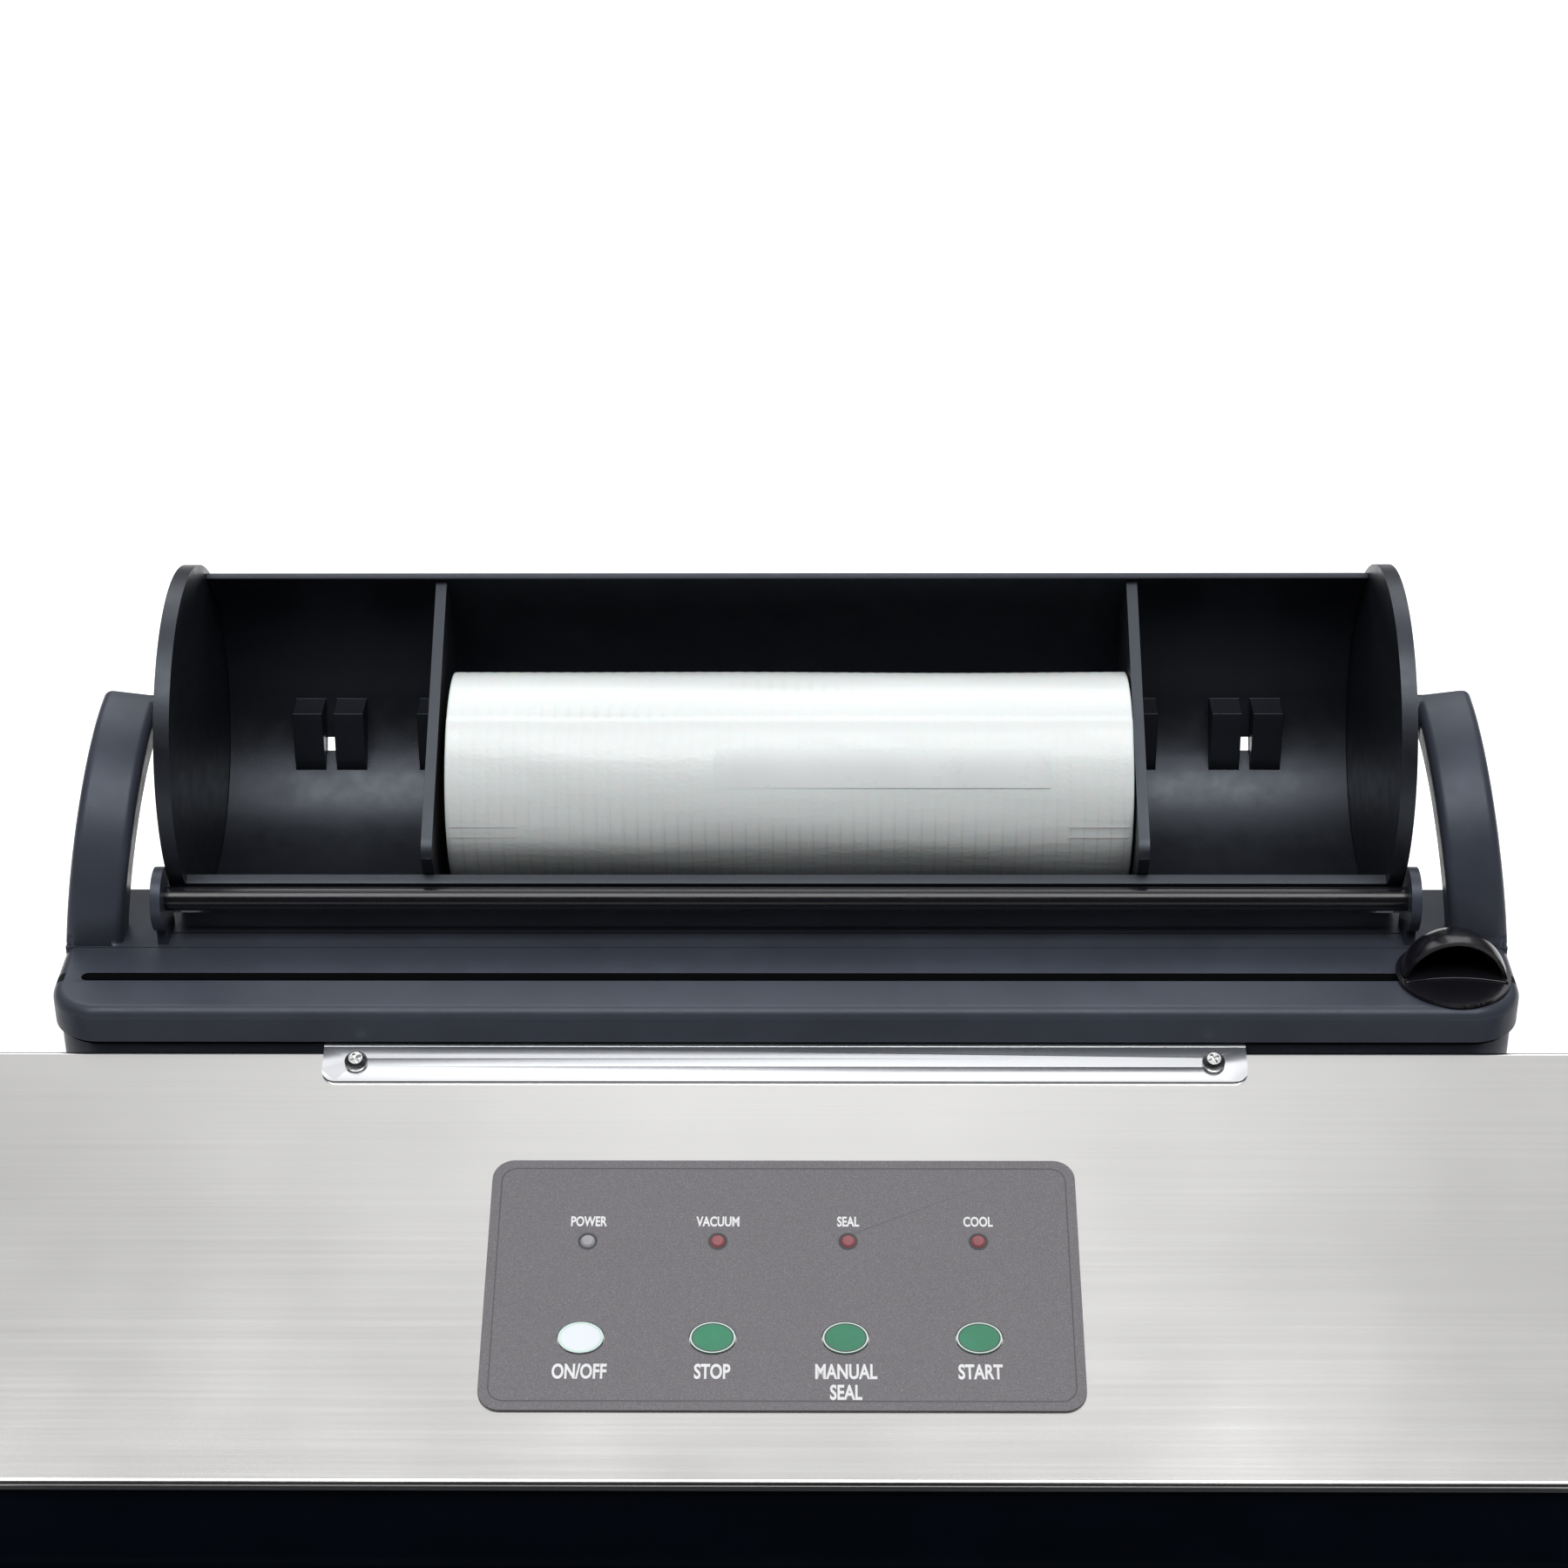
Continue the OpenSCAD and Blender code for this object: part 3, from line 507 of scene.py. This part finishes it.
def lamp_bezels():
    """A thin dark ring round each lamp."""
    vertices, faces = [], []
    turns = [2 * math.pi * i / 40 for i in range(40)]
    for x in lamp_places():
        rings = [[on_panel(x + r * math.cos(a), LAMP_S + r * math.sin(a), OVERLAY_TOP + 0.05)
                  for a in turns] for r in (2.7, 2.05)]
        ring_vertices, ring_faces = band(*rings)
        faces += [tuple(len(vertices) + i for i in face) for face in ring_faces]
        vertices += ring_vertices
    piece("lamp_bezels", vertices, faces, BEZEL, "machine")


def tube(path, radius, sides=10):
    """Vertices and faces of a round tube along a path that runs mostly along X."""
    vertices, faces = [], []
    for point in path:
        for k in range(sides):
            a = 2 * math.pi * k / sides
            vertices.append(point + radius * Vector((0, math.cos(a), math.sin(a))))
    for i in range(len(path) - 1):
        for k in range(sides):
            j = (k + 1) % sides
            faces.append((i * sides + k, i * sides + j, (i + 1) * sides + j, (i + 1) * sides + k))
    faces += [tuple(range(sides))[::-1], tuple(range(len(vertices) - sides, len(vertices)))]
    return vertices, faces


def knob_lip():
    """The fine raised lip along the front of the knob's hollow."""
    low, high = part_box("cutter_knob")
    centre = Vector(((low.x + high.x) / 2, (low.y + high.y) / 2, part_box("cutter_bar")[1].z + 0.0016))
    path = [centre + Vector((0.0148 * t, -0.0055 + 0.0026 * (1 - t * t), 0)) for t in np.linspace(-1, 1, 25)]
    vertices, faces = tube(path, 0.00042)
    piece("knob_lip", vertices, faces, MATERIALS["gloss_rod"], "cutter", True)


def box_piece(name, low, high, material, body):
    """A plain box between two corners."""
    corners = [(x, y, z) for x in (low[0], high[0]) for y in (low[1], high[1]) for z in (low[2], high[2])]
    faces = [(0, 1, 3, 2), (4, 6, 7, 5), (0, 4, 5, 1), (2, 3, 7, 6), (0, 2, 6, 4), (1, 5, 7, 3)]
    return piece(name, corners, faces, material, body)


def deck_seam():
    """The fine joint line that runs along the holder's deck behind the cutter bar."""
    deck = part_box("cutter_bar")[1].z
    y, half_length, half_width = DRUM.y - 0.0469, 0.1815, 0.0003
    box_piece("deck_seam", (-half_length, y - half_width, deck - 0.0002),
              (half_length, y + half_width, deck + 0.00004), SEAM_DARK, "machine")


def inlet_pins():
    """The three brass pins in the power inlet."""
    low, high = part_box("power_inlet")
    x, z = (low.x + high.x) / 2, (low.z + high.z) / 2
    for i, (dx, dz) in enumerate(((-0.007, -0.002), (0, 0.003), (0.007, -0.002)), 1):
        box_piece(f"inlet_pin_{i}", (x + dx - 0.001, high.y - 0.0183, z + dz - 0.002),
                  (x + dx + 0.001, high.y - 0.006, z + dz + 0.002), BRASS, "machine")


for name in NODES:
    dress(name)
overlay_border()
panel_captions()
button_rings()
wound_film()
film_marks()
deck_seam()
inlet_pins()
lamp_bezels()
knob_lip()


# ---- stage, lights and camera ------------------------------------------------------------------

BRIGHT_WAY = (0, 0.42, 0.907)           # where the room is brightest: a little behind the zenith
ROOM_STRENGTH = 1.7
CAMERA_PLACE = DRUM + Vector((0.009, -0.8733, 0.4874))
CAMERA_TILT = math.radians(60)
CAMERA_ROLL = math.radians(0.55)
CAMERA_LENS = 76                        # in mm, on a sensor 36 mm wide


def make_floor():
    """A pale floor that fades into the white backdrop behind the object and all round it."""
    mesh = bpy.data.meshes.new("floor")
    size = 9
    corners = [(-size, -size, 0), (size, -size, 0), (size, size, 0), (-size, size, 0)]
    mesh.from_pydata(corners, [], [(0, 1, 2, 3)])
    floor = bpy.data.objects.new("floor", mesh)
    bpy.context.scene.collection.objects.link(floor)
    s = Shader("floor")
    s.set(Roughness=0.9)
    s.colour(s.ramp(s.noise(2, 2), [(0.3, (0.74, 0.74, 0.74)), (0.7, (0.77, 0.77, 0.77))]))
    split = s.add("ShaderNodeSeparateXYZ")
    s.link(s.place, split.inputs["Vector"])
    s.principled.inputs["Emission Color"].default_value = (1, 1, 1, 1)
    radius = s.add("ShaderNodeVectorMath", operation="LENGTH")
    s.link(s.place, radius.inputs[0])
    behind = s.span(split.outputs["Y"], 0.0, 0.8, 0.2, 0.5)
    around = s.math("MULTIPLY", s.span(radius.outputs["Value"], 0.0, 0.8, 0.7, 1.7),
                    s.add("ShaderNodeLightPath").outputs["Is Camera Ray"])
    s.link(s.math("MAXIMUM", behind, around), s.principled.inputs["Emission Strength"])
    mesh.materials.append(s.material)


def area_light(name, place, target, size, power):
    """A white rectangular softbox at place, turned towards target."""
    light = bpy.data.lights.new(name, "AREA")
    light.shape = "RECTANGLE"
    light.size, light.size_y = size
    light.energy = power
    o = bpy.data.objects.new(name, light)
    o.location = place
    o.rotation_euler = (Vector(target) - Vector(place)).to_track_quat("-Z", "Y").to_euler()
    bpy.context.scene.collection.objects.link(o)


def make_world():
    """A room that is bright overhead and dim low down in front, seen against a plain white backdrop."""
    world = bpy.data.worlds.new("studio")
    bpy.context.scene.world = world
    world.use_nodes = True
    tree = world.node_tree
    place = tree.nodes.new("ShaderNodeTexCoord")
    axis = tree.nodes.new("ShaderNodeVectorMath")
    axis.operation = "DOT_PRODUCT"
    axis.inputs[1].default_value = BRIGHT_WAY
    tree.links.new(place.outputs["Generated"], axis.inputs[0])
    ramp = tree.nodes.new("ShaderNodeValToRGB")
    stops = [(0.0, 0.007), (0.55, 0.05), (0.85, 0.3), (0.945, 0.44), (0.965, 0.56), (0.98, 0.8), (0.996, 1.0)]
    for at, _ in stops[1:-1]:
        ramp.color_ramp.elements.new(at)
    for element, (at, level) in zip(ramp.color_ramp.elements, stops):
        element.position = at
        element.color = (level * 0.985, level * 0.99, level, 1)
    tree.links.new(axis.outputs["Value"], ramp.inputs["Fac"])
    room = tree.nodes["Background"]
    tree.links.new(ramp.outputs["Color"], room.inputs["Color"])
    room.inputs["Strength"].default_value = ROOM_STRENGTH
    backdrop = tree.nodes.new("ShaderNodeBackground")
    backdrop.inputs["Color"].default_value = (1, 1, 1, 1)
    mix = tree.nodes.new("ShaderNodeMixShader")
    tree.links.new(tree.nodes.new("ShaderNodeLightPath").outputs["Is Camera Ray"], mix.inputs["Fac"])
    tree.links.new(room.outputs[0], mix.inputs[1])
    tree.links.new(backdrop.outputs[0], mix.inputs[2])
    tree.links.new(mix.outputs[0], tree.nodes["World Output"].inputs["Surface"])


make_floor()
make_world()
area_light("front_top", (0, -0.62, 1.95), (0, 0.05, 0.2), (2.0, 1.0), 31)
area_light("rear_top", (0, 1.5, 1.7), (0, 0.1, 0.2), (2.4, 1.0), 12)

camera = bpy.data.objects.new("camera", bpy.data.cameras.new("camera"))
camera.data.lens = CAMERA_LENS
camera.data.sensor_width = 36
camera.location = CAMERA_PLACE
camera.rotation_euler = (Matrix.Rotation(CAMERA_TILT, 3, "X")
                         @ Matrix.Rotation(CAMERA_ROLL, 3, "Y")).to_euler()
bpy.context.scene.collection.objects.link(camera)
bpy.context.scene.camera = camera
bpy.context.scene.view_settings.view_transform = "Standard"
